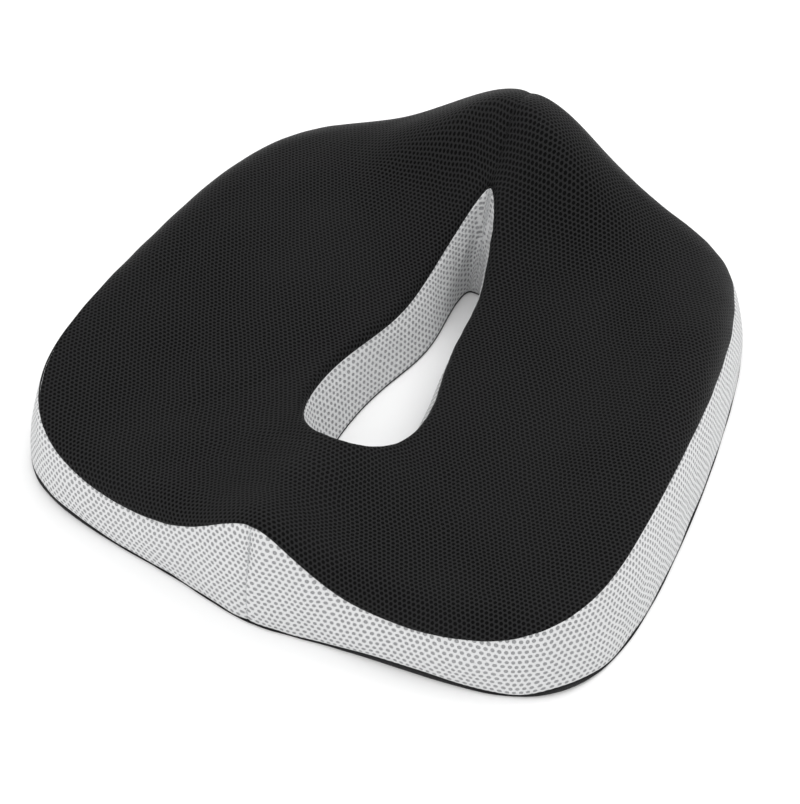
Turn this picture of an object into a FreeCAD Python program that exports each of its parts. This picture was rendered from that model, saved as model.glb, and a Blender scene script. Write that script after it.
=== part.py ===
import FreeCAD, Part
import Sketcher
import math
import os

# Contoured memory-foam seat cushion with a zipped mesh cover.
# Frame: millimetres, origin on the floor at the middle of the footprint, +X to the sitter's
# left, -Y the front edge (two thigh lobes), +Y the rear (raised tail), +Z up.
# The cushion is mirrored about X = 0, so only the half with +X is described.

doc = FreeCAD.newDocument("SeatCushion")
sheet = doc.addObject("Spreadsheet::Sheet", "Sizes")
sheet_row = 0


def size(name, value):
    """Write one named size into the sheet."""
    global sheet_row
    sheet_row += 1
    sheet.set("A%d" % sheet_row, name)
    sheet.set("B%d" % sheet_row, str(value))
    sheet.setAlias("B%d" % sheet_row, name)


# Half the outline has nine stations, from the front centre round the side to the rear centre.
stations = ["front_centre", "thigh", "front_corner", "side_front", "side_middle",
            "side_rear", "rear_corner", "rear_flank", "rear_centre"]


def station_sizes(name, values):
    """Write one size for each station: the control values of a smooth curve."""
    for station, value in zip(stations, values):
        size(name + "_" + station, value)


station_sizes("base_x", [0, 48, 156, 204, 205, 196, 176, 102, 0])
station_sizes("base_y", [-212, -199, -193, -152, -30, 83, 176, 184, 219.5])
station_sizes("seam_inset", [20, 3, 8, 17, 13, 8, 15, 17, 7])
station_sizes("seam_height", [96, 31, 38, 65, 60, 49, 45, 62, 97])
station_sizes("rim_height", [92, 52, 47, 57, 70, 78, 52, 74, 135])
station_sizes("seat_height", [76, 50, 46, 46, 52, 55, 64, 101, 139])
station_sizes("lip_height", [65, 55, 44, 42, 43, 44, 59, 80, 92])
station_sizes("rim_roll", [30, 26, 26, 26, 26, 26, 26, 24, 20])

# The teardrop hole at the seat and at the base: its width scale, its two ends, how much of it is
# a slim tail, how blunt the tail's end is, and how much it is pinched at its waist.
size("hole_top_scale", 40.5)
size("hole_top_front", -103.5)
size("hole_top_rear", 117)
size("hole_top_tail", 0.51)
size("hole_top_blunt", 0)
size("hole_top_pinch", 0.22)
size("hole_top_waist_y", 18)
size("hole_base_scale", 21)
size("hole_base_front", -110)
size("hole_base_rear", 98)
size("hole_base_tail", 0.53)
size("hole_base_blunt", 0.5)
size("hole_base_pinch", 0.48)
size("hole_base_waist_y", 34)
size("waist_spread", 41)
size("lip_roll", 7)
size("band_bulge", 2)

# Cloth layers.
size("cover_thickness", 2.5)
size("cloth_mitre", 2)
size("base_thickness", 1.5)
size("base_rim_height", 4)
size("layer_gap", 0.3)
size("seam_width", 1.4)

# The zip across the underside, in front of the hole.
size("zip_y", -160)
size("zip_length", 260)
size("tape_level", 4.9)
size("tape_thickness", 0.6)
size("tape_width", 10)
size("coil_radius", 1.2)
size("coil_spread", 2.0)
size("tape_overrun", 14)
size("slot_overrun", 12)
size("slot_half_width", 7)
size("hem_thickness", 1)
size("pocket_half_width", 15)
size("pocket_overrun", 18)
size("pocket_top", 9.6)
size("slider_length", 11)
size("slider_half_width", 5)
size("slider_plate", 1)
size("slider_rest_x", 116)
size("slider_under", 2.4)
size("slider_over", 7)
size("flange_width", 0.8)
size("flange_height", 1.2)
size("post_width", 1.0)
size("post_length", 2.4)
size("bridge_width", 1.6)
size("bridge_span", 8)
size("bridge_bar", 0.6)
size("bridge_leg", 0.9)
size("pull_axis_height", 1.95)
size("pull_bar_radius", 0.35)
size("pull_thickness", 0.6)
size("pull_width", 8)
size("pull_length", 24)
size("pull_eye_length", 5)
size("pull_eye_width", 2.8)
size("pull_tip_radius", 3)
size("stop_length", 2.5)
size("guard_length", 12)
doc.recompute()


def value(name):
    return float(sheet.get(name))


def station_values(name):
    return [value(name + "_" + station) for station in stations]


base_x = station_values("base_x")
base_y = station_values("base_y")
seam_inset = station_values("seam_inset")
seam_height = station_values("seam_height")
rim_height = station_values("rim_height")
seat_height = station_values("seat_height")
lip_height = station_values("lip_height")
rim_roll = station_values("rim_roll")


# ---- The outer surface of the cover ----

def along(values, t, mirror_sign=1):
    """Uniform cubic B-spline of station values: t is 0 at the front centre, 1 at the rear centre."""
    control = [mirror_sign * values[1]] + values + [mirror_sign * values[-2]]
    spans = len(values) - 1
    k = min(int(t * spans), spans - 1)
    a = t * spans - k
    weights = ((1 - a) ** 3, 3 * a ** 3 - 6 * a ** 2 + 4,
               -3 * a ** 3 + 3 * a ** 2 + 3 * a + 1, a ** 3)
    return sum(w * c for w, c in zip(weights, control[k:k + 4])) / 6


def ease(q):
    q = max(0.0, min(1.0, q))
    return q * q * (3 - 2 * q)


def quarter(q):
    """Height of a quarter circle without its steepest stretch, 0 at the edge and 1 at the top."""
    skipped = 0.05
    start = math.sqrt(1 - (1 - skipped) ** 2)
    q = skipped + (1 - skipped) * max(0.0, min(1.0, q))
    return (math.sqrt(1 - (1 - q) ** 2) - start) / (1 - start)


def base_edge(t):
    return FreeCAD.Vector(along(base_x, t, -1), along(base_y, t), 0)


def hole_edge(t, level):
    """Point on the teardrop: level is hole_top or hole_base."""
    angle = math.pi * t
    tail = value(level + "_tail")
    front = value(level + "_front")
    rear = value(level + "_rear")
    bulb = math.sin(angle) * math.cos(angle / 2) ** 4 / 0.517
    slim = max(0.0, math.sin(angle)) ** (1 - value(level + "_blunt") * t)
    y = (front + rear) / 2 - (rear - front) / 2 * math.cos(angle)
    from_waist = (y - value(level + "_waist_y")) / value("waist_spread")
    pinch = value(level + "_pinch") * math.exp(-from_waist ** 2)
    x = value(level + "_scale") * ((1 - tail) * bulb + tail * slim) * (1 - pinch)
    return FreeCAD.Vector(x, y, 0)


def rim_seam_point(t):
    inward = (hole_edge(t, "hole_top") - base_edge(t)).normalize()
    point = base_edge(t) + inward * along(seam_inset, t)
    point.z = along(seam_height, t)
    return point


def top_point(t, u):
    """Top of the seat: u is 0 at the rim seam and 1 at the hole."""
    seam = rim_seam_point(t)
    edge = hole_edge(t, "hole_top")
    point = FreeCAD.Vector(seam.x + (edge.x - seam.x) * u, seam.y + (edge.y - seam.y) * u, 0)
    width = math.hypot(edge.x - seam.x, edge.y - seam.y)
    seat = along(seat_height, t)
    if u < 0.5:
        level = along(rim_height, t) + (seat - along(rim_height, t)) * ease(2 * u)
    else:
        level = seat + (along(lip_height, t) - seat) * ease(2 * u - 1)
    level = seam.z + (level - seam.z) * quarter(u * width / along(rim_roll, t))
    lip = value("lip_roll")
    point.z = level - lip * (1 - quarter((1 - u) * width / lip))
    return point


def base_rim_point(t, u):
    """Upright rim of the base cloth: u is 0 at the floor and 1 at the base seam."""
    return base_edge(t) + FreeCAD.Vector(0, 0, value("base_rim_height") * u)


def band_point(t, u):
    """Outer side of the cushion: u is 0 at the base seam and 1 at the rim seam."""
    foot = base_rim_point(t, 1)
    seam = rim_seam_point(t)
    outward = FreeCAD.Vector(foot.x - seam.x, foot.y - seam.y, 0).normalize()
    return foot + (seam - foot) * u + outward * (4 * u * (1 - u) * value("band_bulge"))


def lining_point(t, u):
    """Wall of the hole: u is 0 at the seat and 1 at its base seam, just above the base cloth."""
    foot = hole_edge(t, "hole_base")
    foot.z = value("base_thickness") + value("seam_width") / 2
    return top_point(t, 1) + (foot - top_point(t, 1)) * u


def base_lip_point(t, u):
    """Edge of the base cloth at the hole: u is 0 at the hole's base seam and 1 at the floor."""
    return lining_point(t, 1) * (1 - u) + hole_edge(t, "hole_base") * u


def mirrored(point):
    return FreeCAD.Vector(-point.x, point.y, point.z)


def at(surface, t, u):
    """The surface, carried on past the mirror plane at either end."""
    if t < 0:
        return mirrored(surface(-t, u))
    if t > 1:
        return mirrored(surface(2 - t, u))
    return surface(t, u)


def inside(surface, t, u, depth):
    """The point that lies depth below the outer surface."""
    step = 0.004
    low = max(u - step, 0.0)
    high = min(u + step, 1.0)
    around = at(surface, t + step, u) - at(surface, t - step, u)
    across = surface(t, high) - surface(t, low)
    normal = across.cross(around).normalize()
    point = surface(t, u) + normal * depth
    if t in (0, 1):
        point.x = 0
    return point


# ---- Solids lofted round half the ring, then mirrored ----

half_sections = 24
section_places = [i / half_sections for i in range(half_sections + 1)]


def spline(points):
    curve = Part.BSplineCurve()
    curve.interpolate(Points=points, Parameters=[i / (len(points) - 1) for i in range(len(points))])
    return curve.toShape()


def closed_section(sides):
    """A wire of several point lists, each one side; the last side closes onto the first."""
    edges = []
    for side in sides:
        edges.append(Part.LineSegment(*side).toShape() if len(side) == 2 else spline(side))
    return Part.Wire(edges)


def ring(section, whole):
    """Loft section(t) round the half ring and mirror it: one closed solid, or the right half only."""
    half = Part.makeLoft([closed_section(section(t)) for t in section_places], True, False)
    if not whole:
        return half
    return half.fuse(half.mirror(FreeCAD.Vector(0, 0, 0), FreeCAD.Vector(1, 0, 0))).removeSplitter()


def crowded(first, last, count):
    """Places from first to last that are closer together towards both ends."""
    steps = [i / (count - 1) for i in range(count)]
    return [first + (last - first) * (0.35 * q + 0.325 * (1 - math.cos(math.pi * q)))
            for q in steps]


def panel_section(surface, count):
    """Section of a cover panel that stops short of the seam at either edge."""
    def section(t):
        margin = value("seam_width") / 2
        fall = 0.01
        first = fall * margin / (surface(t, fall) - surface(t, 0)).Length
        last = 1 - fall * margin / (surface(t, 1) - surface(t, 1 - fall)).Length
        mitre = value("cloth_mitre") / margin
        back_first = first * (1 + mitre)
        back_last = 1 - (1 - last) * (1 + mitre)
        front = [inside(surface, t, u, 0) for u in crowded(first, last, count)]
        back = [inside(surface, t, u, value("cover_thickness"))
                for u in crowded(back_last, back_first, count)]
        return [front, [front[-1], back[0]], back, [back[-1], front[0]]]
    return section


def under_corner(first_surface, first_end, second_surface, second_end, t, depth):
    """The point where two surfaces that meet in an edge still meet, depth below them both."""
    corner = first_surface(t, first_end)
    one = (inside(first_surface, t, first_end, 1) - corner).normalize()
    other = (inside(second_surface, t, second_end, 1) - corner).normalize()
    return corner + (one + other) * (depth / (1 + one.dot(other)))


def seam_section(first_surface, first_end, second_surface, second_end):
    """Section of a stitched seam: a small strip that fills the gap between two cloth layers."""
    def section(t):
        reach = 0.45 * value("seam_width")
        corner = first_surface(t, first_end)
        root = under_corner(first_surface, first_end, second_surface, second_end, t,
                            0.8 * value("cover_thickness"))
        before = corner + (first_surface(t, abs(first_end - 0.05)) - corner).normalize() * reach
        after = corner + (second_surface(t, abs(second_end - 0.05)) - corner).normalize() * reach
        return [[corner, after], [after, root], [root, before], [before, corner]]
    return section


def core_section(t):
    """Section of the foam: the cover's outline moved in by the cover's thickness and a gap."""
    depth = value("cover_thickness") + value("layer_gap")
    floor = value("base_thickness") + value("layer_gap")
    wall = [inside(band_point, t, i / 6, depth) for i in range(7)]
    top = [inside(top_point, t, u, depth) for u in crowded(0, 1, 23)]
    hole = [inside(lining_point, t, i / 6, depth) for i in range(7)]
    wall[-1] = under_corner(band_point, 1, top_point, 0, t, depth)
    top[0] = wall[-1]
    top[-1] = under_corner(top_point, 1, lining_point, 0, t, depth)
    hole[0] = top[-1]
    hole[-1] = FreeCAD.Vector(hole[-1].x, hole[-1].y, floor)
    foot = FreeCAD.Vector(wall[0].x, wall[0].y, floor)
    return [[foot, wall[0]], wall, top, hole, [hole[-1], foot]]


def centre_seam(surface, t, count):
    """A sewn join that runs across a panel on the mirror plane, just narrower than its slot."""
    half = 0.4 * value("seam_width")
    places = crowded(0.02, 0.98, count)
    front = [inside(surface, t, u, 0) for u in places]
    back = [inside(surface, t, u, value("cover_thickness") - value("layer_gap"))
            for u in reversed(places)]
    wire = closed_section([front, [front[-1], back[0]], back, [back[-1], front[0]]])
    wire.translate(FreeCAD.Vector(-half, 0, 0))
    return Part.Face(wire).extrude(FreeCAD.Vector(2 * half, 0, 0))


def slab(low, high):
    """A box between two corners."""
    return Part.makeBox(high[0] - low[0], high[1] - low[1], high[2] - low[2],
                        FreeCAD.Vector(*low))


def seam_slot(y_low, y_high):
    """The slot that a join on the mirror plane sits in."""
    half = value("seam_width") / 2
    return slab((-half, y_low, -1), (half, y_high, 200))


def plan_block(place, low, high):
    """An upright block whose outline follows place(t) up one side and its mirror down the other."""
    right = [place(t) + FreeCAD.Vector(0, 0, low) for t in section_places]
    left = [mirrored(point) for point in reversed(right)]
    return Part.Face(Part.Wire([spline(right), spline(left)])).extrude(
        FreeCAD.Vector(0, 0, high - low))


def cloth_foot(t):
    """The inner side of the base cloth's upright rim."""
    point = inside(base_rim_point, t, 0.5, value("cover_thickness"))
    point.z = 0
    return point


def add_shape(label, shape):
    feature = doc.addObject("Part::Feature", label)
    feature.Label = label
    feature.Shape = shape
    feature.Placement = FreeCAD.Placement()
    return feature


# ---- Foam core, with a hollow over the zip ----

zip_y = value("zip_y")
zip_half = value("zip_length") / 2
pocket_x = zip_half + value("pocket_overrun")
pocket_y = value("pocket_half_width")
pocket = slab((-pocket_x, zip_y - pocket_y, 0), (pocket_x, zip_y + pocket_y, value("pocket_top")))
foam_core = add_shape("foam_core", ring(core_section, True).cut(pocket))

# ---- Cover panels ----

tip_y = value("hole_top_rear")
front_y = value("hole_top_front")
far = 300

top_ring = ring(panel_section(top_point, 29), True)
top_panel = add_shape("top_panel", top_ring.cut(seam_slot(tip_y - 1, far)))

band_slots = [seam_slot(-far, front_y), seam_slot(tip_y, far)]
right_band = ring(panel_section(band_point, 9), False).cut(band_slots)
side_band_right = add_shape("side_band_right", right_band)
left_band = right_band.mirror(FreeCAD.Vector(0, 0, 0), FreeCAD.Vector(1, 0, 0))
side_band_left = add_shape("side_band_left", left_band)

lining_ring = ring(panel_section(lining_point, 9), True)
hole_lining = add_shape("hole_lining", lining_ring.cut(seam_slot(tip_y - 20, far)))

# ---- Base cloth: flat, with an upright rim outside and a turned-up hem round the zip slot ----

base_thickness = value("base_thickness")
rim_top = value("base_rim_height") - value("seam_width") / 2
hole_block = plan_block(lambda t: hole_edge(t, "hole_base"), -1, rim_top + 2)
rim = plan_block(base_edge, 0, rim_top).cut(plan_block(cloth_foot, base_thickness, rim_top + 1))
slot_x = zip_half + value("slot_overrun")
slot_y = value("slot_half_width")
hem = value("hem_thickness")
hem_block = slab((-slot_x - hem, zip_y - slot_y - hem, 0),
                 (slot_x + hem, zip_y + slot_y + hem, value("tape_level")))
slot = slab((-slot_x, zip_y - slot_y, -1), (slot_x, zip_y + slot_y, value("tape_level") + 1))
base_cloth = rim.fuse(hem_block).cut([hole_block, slot]).removeSplitter()
base_panel = add_shape("base_panel", base_cloth)

# ---- Seams ----

rim_seam = add_shape("rim_seam", ring(seam_section(band_point, 1, top_point, 0), True))
hole_seam = add_shape("hole_seam", ring(seam_section(top_point, 1, lining_point, 0), True))
base_seam = add_shape("base_seam", ring(seam_section(base_rim_point, 1, band_point, 0), True))
hole_base_seam = add_shape(
    "hole_base_seam", ring(seam_section(lining_point, 1, base_lip_point, 0), True))
rear_closing_seam = add_shape("rear_closing_seam", centre_seam(top_point, 1, 15))
front_band_seam = add_shape("front_band_seam", centre_seam(band_point, 0, 5))
rear_band_seam = add_shape("rear_band_seam", centre_seam(band_point, 1, 5))
lining_seam = add_shape("lining_seam", centre_seam(lining_point, 1, 5))


# ---- Zip: primitives and bodies whose sizes are bound to the sheet ----

def bind(feature, **expressions):
    """Bind properties to sheet expressions; x, y and z are the position."""
    for name, expression in expressions.items():
        path = "Placement.Base." + name if name in "xyz" else name
        feature.setExpression(path, expression)
    return feature


def box(name, **expressions):
    return bind(doc.addObject("Part::Box", name), **expressions)


def fused(label, pieces):
    whole = doc.addObject("Part::MultiFuse", label)
    whole.Shapes = pieces
    whole.Label = label
    return whole


def zipper_tape(label, low_y):
    tape = box(label, Length="Sizes.zip_length + 2 * Sizes.tape_overrun",
               Width="Sizes.tape_width", Height="Sizes.tape_thickness",
               x="-Sizes.zip_length / 2 - Sizes.tape_overrun", y=low_y, z="Sizes.tape_level")
    tape.Label = label
    return tape


coil_level = "Sizes.tape_level + Sizes.tape_thickness / 2"
tape_edge = "Sizes.coil_spread + Sizes.coil_radius"
zipper_tape_rear = zipper_tape("zipper_tape_rear", "Sizes.zip_y + " + tape_edge)
zipper_tape_front = zipper_tape(
    "zipper_tape_front", "Sizes.zip_y - " + tape_edge.replace("+", "-") + " - Sizes.tape_width")


def zipper_coil(label, side):
    """One row of the coil: a round rod that a circle sketched across the zip is padded into."""
    body = doc.addObject("PartDesign::Body", label)
    body.Label = label
    plane = [item for item in body.Origin.OriginFeatures if item.Role == "YZ_Plane"][0]
    sketch = body.newObject("Sketcher::SketchObject", label + "_section")
    sketch.AttachmentSupport = (plane, [""])
    sketch.MapMode = "FlatFace"
    sketch.addGeometry(Part.Circle(FreeCAD.Vector(0, 0, 0), FreeCAD.Vector(0, 0, 1), 1), False)
    sketch.addConstraint(Sketcher.Constraint("Coincident", 0, 3, -1, 1))
    sketch.addConstraint(Sketcher.Constraint("Radius", 0, 1))
    sketch.setExpression("Constraints[1]", "Sizes.coil_radius")
    pad = body.newObject("PartDesign::Pad", label + "_run")
    pad.Profile = sketch
    pad.setExpression("Length", "Sizes.zip_length")
    bind(body, x="-Sizes.zip_length / 2", y="Sizes.zip_y %s Sizes.coil_spread" % side,
         z=coil_level)
    return body


zipper_coil_front = zipper_coil("zipper_coil_front", "-")
zipper_coil_rear = zipper_coil("zipper_coil_rear", "+")

slider_x = "Sizes.slider_rest_x - Sizes.slider_length / 2"
slider_y = "Sizes.zip_y - Sizes.slider_half_width"
under_plate = box("slider_under_plate", Length="Sizes.slider_length",
                  Width="2 * Sizes.slider_half_width", Height="Sizes.slider_plate",
                  x=slider_x, y=slider_y, z="Sizes.slider_under")
over_plate = box("slider_over_plate", Length="Sizes.slider_length",
                 Width="2 * Sizes.slider_half_width", Height="Sizes.slider_plate",
                 x=slider_x, y=slider_y, z="Sizes.slider_over")
slider_pieces = [under_plate, over_plate]
flange_places = {"front": slider_y,
                 "rear": "Sizes.zip_y + Sizes.slider_half_width - Sizes.flange_width"}
flange_levels = {"under": "Sizes.slider_under + Sizes.slider_plate",
                 "over": "Sizes.slider_over - Sizes.flange_height"}
for side, place in flange_places.items():
    for plate_name, level in flange_levels.items():
        slider_pieces.append(box(
            "slider_flange_%s_%s" % (side, plate_name), Length="Sizes.slider_length",
            Width="Sizes.flange_width", Height="Sizes.flange_height",
            x=slider_x, y=place, z=level))
slider_pieces.append(box(
    "slider_post", Length="Sizes.post_length", Width="Sizes.post_width",
    Height="Sizes.slider_over - Sizes.slider_under",
    x="Sizes.slider_rest_x + Sizes.slider_length / 2 - Sizes.post_length",
    y="Sizes.zip_y - Sizes.post_width / 2", z="Sizes.slider_under"))
bridge_foot = "Sizes.slider_under - Sizes.bridge_leg - Sizes.bridge_bar"
slider_pieces.append(box(
    "slider_bridge_bar", Length="Sizes.bridge_span", Width="Sizes.bridge_width",
    Height="Sizes.bridge_bar", x="Sizes.slider_rest_x - Sizes.bridge_span / 2",
    y="Sizes.zip_y - Sizes.bridge_width / 2", z=bridge_foot))
bridge_ends = {"open": "Sizes.slider_rest_x - Sizes.bridge_span / 2",
               "shut": "Sizes.slider_rest_x + Sizes.bridge_span / 2 - Sizes.bridge_leg"}
for end, place in bridge_ends.items():
    slider_pieces.append(box(
        "slider_bridge_leg_" + end, Length="Sizes.bridge_leg", Width="Sizes.bridge_width",
        Height="Sizes.bridge_leg + Sizes.bridge_bar", x=place,
        y="Sizes.zip_y - Sizes.bridge_width / 2", z=bridge_foot))
zipper_slider = fused("zipper_slider", slider_pieces)

pull_low = "Sizes.pull_axis_height - Sizes.pull_thickness / 2"
pull_tab = box("pull_tab", Length="Sizes.pull_length - Sizes.pull_tip_radius",
               Width="Sizes.pull_width", Height="Sizes.pull_thickness",
               x="Sizes.slider_rest_x - Sizes.pull_length + Sizes.pull_tip_radius",
               y="Sizes.zip_y - Sizes.pull_width / 2", z=pull_low)
pull_tip = box("pull_tip", Length="2 * Sizes.pull_tip_radius",
               Width="Sizes.pull_width - 2 * Sizes.pull_tip_radius",
               Height="Sizes.pull_thickness",
               x="Sizes.slider_rest_x - Sizes.pull_length",
               y="Sizes.zip_y - Sizes.pull_width / 2 + Sizes.pull_tip_radius", z=pull_low)
pull_bar = bind(doc.addObject("Part::Cylinder", "pull_bar"), Radius="Sizes.pull_bar_radius",
                Height="Sizes.pull_width", x="Sizes.slider_rest_x",
                y="Sizes.zip_y + Sizes.pull_width / 2", z="Sizes.pull_axis_height")
pull_bar.Placement.Rotation = FreeCAD.Rotation(FreeCAD.Vector(1, 0, 0), 90)
pull_pieces = [pull_tab, pull_tip, pull_bar]
for side in "-+":
    corner = bind(doc.addObject("Part::Cylinder", "pull_corner"), Radius="Sizes.pull_tip_radius",
                  Height="Sizes.pull_thickness",
                  x="Sizes.slider_rest_x - Sizes.pull_length + Sizes.pull_tip_radius",
                  y="Sizes.zip_y %s (Sizes.pull_width / 2 - Sizes.pull_tip_radius)" % side,
                  z=pull_low)
    pull_pieces.append(corner)
pull_eye = box("pull_eye", Length="Sizes.pull_eye_length", Width="Sizes.pull_eye_width",
               Height="3 * Sizes.pull_thickness",
               x="Sizes.slider_rest_x - Sizes.pull_bar_radius - Sizes.pull_eye_length",
               y="Sizes.zip_y - Sizes.pull_eye_width / 2",
               z="Sizes.pull_axis_height - 1.5 * Sizes.pull_thickness")
zipper_pull = doc.addObject("Part::Cut", "zipper_pull")
zipper_pull.Base = fused("pull_blank", pull_pieces)
zipper_pull.Tool = pull_eye
zipper_pull.Label = "zipper_pull"

# Crimped stops past the coils' ends: one on each tape at the shut end, one across both at the other.
stop_level = coil_level + " - Sizes.coil_radius"
top_stops = []
for side, place in {"front": "Sizes.zip_y - " + tape_edge.replace("+", "-"),
                    "rear": "Sizes.zip_y + Sizes.coil_spread - Sizes.coil_radius"}.items():
    top_stops.append(box("top_stop_" + side, Length="Sizes.stop_length",
                         Width="2 * Sizes.coil_radius", Height="2 * Sizes.coil_radius",
                         x="Sizes.zip_length / 2", y=place, z=stop_level))
zipper_top_stops = doc.addObject("Part::Compound", "zipper_top_stops")
zipper_top_stops.Links = top_stops
zipper_top_stops.Label = "zipper_top_stops"
zipper_bottom_stop = box("zipper_bottom_stop", Length="Sizes.stop_length",
                         Width="2 * (%s)" % tape_edge, Height="2 * Sizes.coil_radius",
                         x="-Sizes.zip_length / 2 - Sizes.stop_length",
                         y="Sizes.zip_y - " + tape_edge.replace("+", "-"), z=stop_level)
zipper_bottom_stop.Label = "zipper_bottom_stop"

# Cloth guards sewn over the tapes' ends, inside the cover.
guards = []
for end, place in {"open": "-Sizes.zip_length / 2 - Sizes.guard_length - Sizes.stop_length",
                   "shut": "Sizes.zip_length / 2 + Sizes.stop_length"}.items():
    guards.append(box("end_guard_" + end, Length="Sizes.guard_length",
                      Width="2 * Sizes.pocket_half_width - 4", Height="Sizes.tape_thickness",
                      x=place, y="Sizes.zip_y - Sizes.pocket_half_width + 2",
                      z="Sizes.tape_level + Sizes.tape_thickness"))
zipper_end_guards = doc.addObject("Part::Compound", "zipper_end_guards")
zipper_end_guards.Links = guards
zipper_end_guards.Label = "zipper_end_guards"

# ---- Check and export ----

nodes = [foam_core, top_panel, side_band_right, side_band_left, hole_lining, base_panel,
         rim_seam, hole_seam, base_seam, hole_base_seam, rear_closing_seam, front_band_seam,
         rear_band_seam, lining_seam, zipper_tape_front, zipper_tape_rear, zipper_coil_front,
         zipper_coil_rear, zipper_slider, zipper_pull, zipper_top_stops, zipper_bottom_stop,
         zipper_end_guards]

doc.recompute()
for item in doc.Objects:
    if "Invalid" in item.State or "Error" in item.State:
        raise RuntimeError("%s failed: %s" % (item.Label, item.State))
for node in nodes:
    if node.Shape.isNull() or not node.Shape.isValid():
        raise RuntimeError(node.Label + " has no valid shape")

os.makedirs("parts", exist_ok=True)
for node in nodes:
    node.Shape.exportStep("parts/" + node.Label + ".step")
    print("%-20s %2d solid %10.1f mm3" % (node.Label, len(node.Shape.Solids), node.Shape.Volume))
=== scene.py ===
import bmesh
import bpy
import math
import numpy as np
from mathutils import Matrix, Vector


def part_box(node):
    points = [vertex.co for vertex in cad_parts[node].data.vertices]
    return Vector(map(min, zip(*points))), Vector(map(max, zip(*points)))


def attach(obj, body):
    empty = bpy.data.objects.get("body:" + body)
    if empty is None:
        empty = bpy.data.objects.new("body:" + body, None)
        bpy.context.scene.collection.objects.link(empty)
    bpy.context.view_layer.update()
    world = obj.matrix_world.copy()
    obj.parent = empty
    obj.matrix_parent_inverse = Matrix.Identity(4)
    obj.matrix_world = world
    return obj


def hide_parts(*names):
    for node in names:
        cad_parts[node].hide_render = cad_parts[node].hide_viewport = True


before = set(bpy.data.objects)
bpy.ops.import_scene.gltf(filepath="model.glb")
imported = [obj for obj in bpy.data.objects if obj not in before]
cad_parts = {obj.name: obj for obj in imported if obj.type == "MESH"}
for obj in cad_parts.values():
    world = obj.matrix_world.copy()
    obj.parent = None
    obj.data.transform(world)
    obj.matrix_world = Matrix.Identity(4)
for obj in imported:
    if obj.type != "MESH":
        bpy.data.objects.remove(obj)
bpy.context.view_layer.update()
MM = 0.001

# ---- The cushion's outer surface, as in the CAD model -------------------------------------
# Nine stations run from the front centre round one side to the rear centre. A place on the
# ring is t: 0 at the front centre, 1 and -1 at the rear centre, and t below 0 is the side
# with -X. Sizes are in millimetres until a mesh is made.

BASE_X = [0, 48, 156, 204, 205, 196, 176, 102, 0]
BASE_Y = [-212, -199, -193, -152, -30, 83, 176, 184, 219.5]
SEAM_INSET = [20, 3, 8, 17, 13, 8, 15, 17, 7]
SEAM_HEIGHT = [96, 31, 38, 65, 60, 49, 45, 62, 97]
RIM_HEIGHT = [92, 52, 47, 57, 70, 78, 52, 74, 135]
SEAT_HEIGHT = [76, 50, 46, 46, 52, 55, 64, 101, 139]
LIP_HEIGHT = [65, 55, 44, 42, 43, 44, 59, 80, 92]
RIM_ROLL = [30, 26, 26, 26, 26, 26, 26, 24, 20]
HOLE_TOP = {"scale": 40.5, "front": -103.5, "rear": 117, "tail": 0.51, "blunt": -0.3, "pinch": 0.22,
            "waist": 18, "lean": 0.0}
HOLE_BASE = {"scale": 21, "front": -110, "rear": 98, "tail": 0.53, "blunt": 0.5, "pinch": 0.48,
             "waist": 34, "lean": 1.0}
WAIST_SPREAD = 41
BULB_PEAK = 0.517       # the greatest value of sin(a) * cos(a / 2) ** 4
LIP_ROLL = 7
BAND_BULGE = 2

# What the cloth adds: the hole sits a little off the middle, its +X wall stands more upright
# (lean), its rear tip is sharper, and the grey band reaches down to an uneven height, so that
# the black base cloth shows below it, the most at three places and at the rear.
BOW = 3.3               # towards +X, the most at BOW_Y
BOW_Y = 45
BOW_SPREAD = 43
LEAN_PINCH = 0.7        # share of the pinch that an upright wall loses
LEAN_WIDTH = 0.2        # and how much further out it stands
FLOOR_GAP = 0.7         # the base cloth stands this high on its grip dots
LINING_FOOT = 1.3
STRIP_LEAST = 1.2
STRIP_WANDER = 0.12
STRIP_REAR = (0.55, 0.2, 1.8)                   # where the strip starts to grow, over what, and how much
STRIPS = [(-0.27, 0.07, 4.0), (0.175, 0.055, 4.4), (0.325, 0.035, 5.0)]     # place, spread and rise


def along(values, t, mirror_sign=1):
    """Uniform cubic B-spline of station values at |t|, mirrored at both ends."""
    control = np.array([mirror_sign * values[1]] + list(values) + [mirror_sign * values[-2]], float)
    spans = len(values) - 1
    place = np.clip(np.abs(t), 0, 1) * spans
    k = np.minimum(place.astype(int), spans - 1)
    a = place - k
    return ((1 - a) ** 3 * control[k] + (3 * a ** 3 - 6 * a ** 2 + 4) * control[k + 1]
            + (-3 * a ** 3 + 3 * a ** 2 + 3 * a + 1) * control[k + 2] + a ** 3 * control[k + 3]) / 6


def ease(q):
    q = np.clip(q, 0, 1)
    return q * q * (3 - 2 * q)


def quarter(q):
    """Height of a quarter circle without its steepest stretch, 0 at the edge and 1 at the top."""
    skipped = 0.05
    start = math.sqrt(1 - (1 - skipped) ** 2)
    q = skipped + (1 - skipped) * np.clip(q, 0, 1)
    return (np.sqrt(1 - (1 - q) ** 2) - start) / (1 - start)


def point(x, y, z):
    return np.stack(np.broadcast_arrays(x, y, z), axis=-1)


def side(t):
    return np.where(t < 0, -1.0, 1.0)


def base_edge(t):
    return along(BASE_X, t, -1) * side(t), along(BASE_Y, t)


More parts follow.
